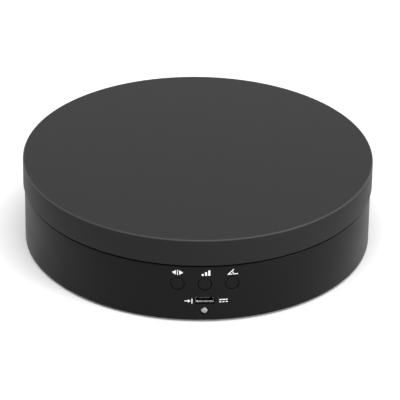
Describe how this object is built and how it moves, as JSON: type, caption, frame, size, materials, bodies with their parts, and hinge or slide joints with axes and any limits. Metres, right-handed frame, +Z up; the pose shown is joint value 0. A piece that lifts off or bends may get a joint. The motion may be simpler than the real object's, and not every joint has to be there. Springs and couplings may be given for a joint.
{
  "type": "turntable display stand",
  "caption": "Low round black display turntable: a flat platter driven by a gear motor turns on a round base with push buttons, a small power socket and a status light.",
  "frame": {"origin": "centre of the platter's axis on the plane the rubber feet stand on", "axes": "+Z up along the platter's axis, -Y towards the control panel, +X to the right seen from the front"},
  "size_m": [0.146, 0.146, 0.038],
  "materials": {
    "platter": "fine matte",
    "base": "fine matte",
    "button": "satin",
    "rubber": "matte",
    "screw": "black zinc",
    "steel": "ground",
    "can": "zinc plated",
    "nylon": "moulded acetal",
    "brass": "turned",
    "blue_plastic": "moulded",
    "board": "solder mask",
    "black_plastic": "moulded",
    "connector": "moulded",
    "nickel": "nickel plated",
    "lens": "clear diffused",
    "cell_wrap": "shrink wrap",
    "red_wire": "insulation",
    "black_wire": "insulation",
    "grey_wire": "insulation"
  },
  "bodies": {
    "stand_base": {"base_housing": "base", "bottom_cover": "base", "rubber_foot_1": "rubber", "rubber_foot_2": "rubber", "rubber_foot_3": "rubber", "rubber_foot_4": "rubber", "cover_screw_1": "screw", "cover_screw_2": "screw", "cover_screw_3": "screw", "cover_screw_4": "screw", "bearing_outer_ring": "steel", "roller_axle_1": "steel", "roller_axle_2": "steel", "roller_axle_3": "steel", "roller_axle_4": "steel", "battery_cell": "cell_wrap", "battery_spring": "nickel", "battery_contact_negative": "nickel", "battery_contact_positive": "nickel", "battery_lead_negative": "black_wire", "battery_lead_positive": "red_wire", "motor_can": "can", "motor_face_plate": "can", "motor_screw_1": "screw", "motor_screw_2": "screw", "motor_wire_block": "blue_plastic", "motor_lead": "grey_wire", "circuit_board": "board", "board_screw_1": "screw", "board_screw_2": "screw", "controller_chip": "black_plastic", "motor_connector": "connector", "direction_switch_body": "black_plastic", "speed_switch_body": "black_plastic", "angle_switch_body": "black_plastic", "usb_socket_shell": "nickel", "usb_socket_tongue": "black_plastic", "status_led": "lens"},
    "platter": {"platter_disc": "platter", "ring_gear": "nylon", "ring_gear_screw_1": "screw", "ring_gear_screw_2": "screw", "ring_gear_screw_3": "screw", "spindle": "steel", "spindle_clip": "steel", "bearing_inner_ring": "steel"},
    "ball_cage": {"bearing_balls_and_cage": "steel"},
    "motor_output": {"motor_shaft": "brass", "drive_pinion": "nylon"},
    "support_roller_1": {"roller_1": "nylon"},
    "support_roller_2": {"roller_2": "nylon"},
    "support_roller_3": {"roller_3": "nylon"},
    "support_roller_4": {"roller_4": "nylon"},
    "direction_key": {"direction_button": "button", "direction_switch_plunger": "black_plastic"},
    "speed_key": {"speed_button": "button", "speed_switch_plunger": "black_plastic"},
    "angle_key": {"angle_button": "button", "angle_switch_plunger": "black_plastic"},
    "door": {"battery_door": "base"}
  },
  "joints": [
    {"name": "platter_turn", "type": "hinge", "parent": "stand_base", "child": "platter", "pos_m": [0, 0, 0.0228], "axis": [0, 0, 1], "continuous": true},
    {"name": "motor_output_turn", "type": "hinge", "parent": "stand_base", "child": "motor_output", "pos_m": [0.01478, -0.01891, 0.0247], "axis": [0, 0, 1], "continuous": true},
    {"name": "ball_cage_turn", "type": "hinge", "parent": "stand_base", "child": "ball_cage", "pos_m": [0, 0, 0.02275], "axis": [0, 0, 1], "continuous": true},
    {"name": "roller_1_turn", "type": "hinge", "parent": "stand_base", "child": "support_roller_1", "pos_m": [0.04278, 0.04278, 0.02765], "axis": [0.7071, 0.7071, 0], "continuous": true},
    {"name": "roller_2_turn", "type": "hinge", "parent": "stand_base", "child": "support_roller_2", "pos_m": [-0.04278, 0.04278, 0.02765], "axis": [-0.7071, 0.7071, 0], "continuous": true},
    {"name": "roller_3_turn", "type": "hinge", "parent": "stand_base", "child": "support_roller_3", "pos_m": [-0.04278, -0.04278, 0.02765], "axis": [-0.7071, -0.7071, 0], "continuous": true},
    {"name": "roller_4_turn", "type": "hinge", "parent": "stand_base", "child": "support_roller_4", "pos_m": [0.04278, -0.04278, 0.02765], "axis": [0.7071, -0.7071, 0], "continuous": true},
    {"name": "direction_button_press", "type": "slide", "parent": "stand_base", "child": "direction_key", "axis": [0, 1, 0], "range_m": [0, 0.0003], "stiffness_N_per_m": 3000, "springref_m": -0.0003},
    {"name": "speed_button_press", "type": "slide", "parent": "stand_base", "child": "speed_key", "axis": [0, 1, 0], "range_m": [0, 0.0003], "stiffness_N_per_m": 3000, "springref_m": -0.0003},
    {"name": "angle_button_press", "type": "slide", "parent": "stand_base", "child": "angle_key", "axis": [0, 1, 0], "range_m": [0, 0.0003], "stiffness_N_per_m": 3000, "springref_m": -0.0003},
    {"name": "battery_door_hinge", "type": "hinge", "parent": "stand_base", "child": "door", "pos_m": [0.036, 0.024, 0.0008], "axis": [0, -1, 0], "range_deg": [0, 70]}
  ],
  "couplings": [
    {"joint": "motor_output_turn", "follows": "platter_turn", "ratio": 5},
    {"joint": "ball_cage_turn", "follows": "platter_turn", "ratio": 0.359},
    {"joint": "roller_1_turn", "follows": "platter_turn", "ratio": -17.794},
    {"joint": "roller_2_turn", "follows": "platter_turn", "ratio": -17.794},
    {"joint": "roller_3_turn", "follows": "platter_turn", "ratio": -17.794},
    {"joint": "roller_4_turn", "follows": "platter_turn", "ratio": -17.794}
  ]
}
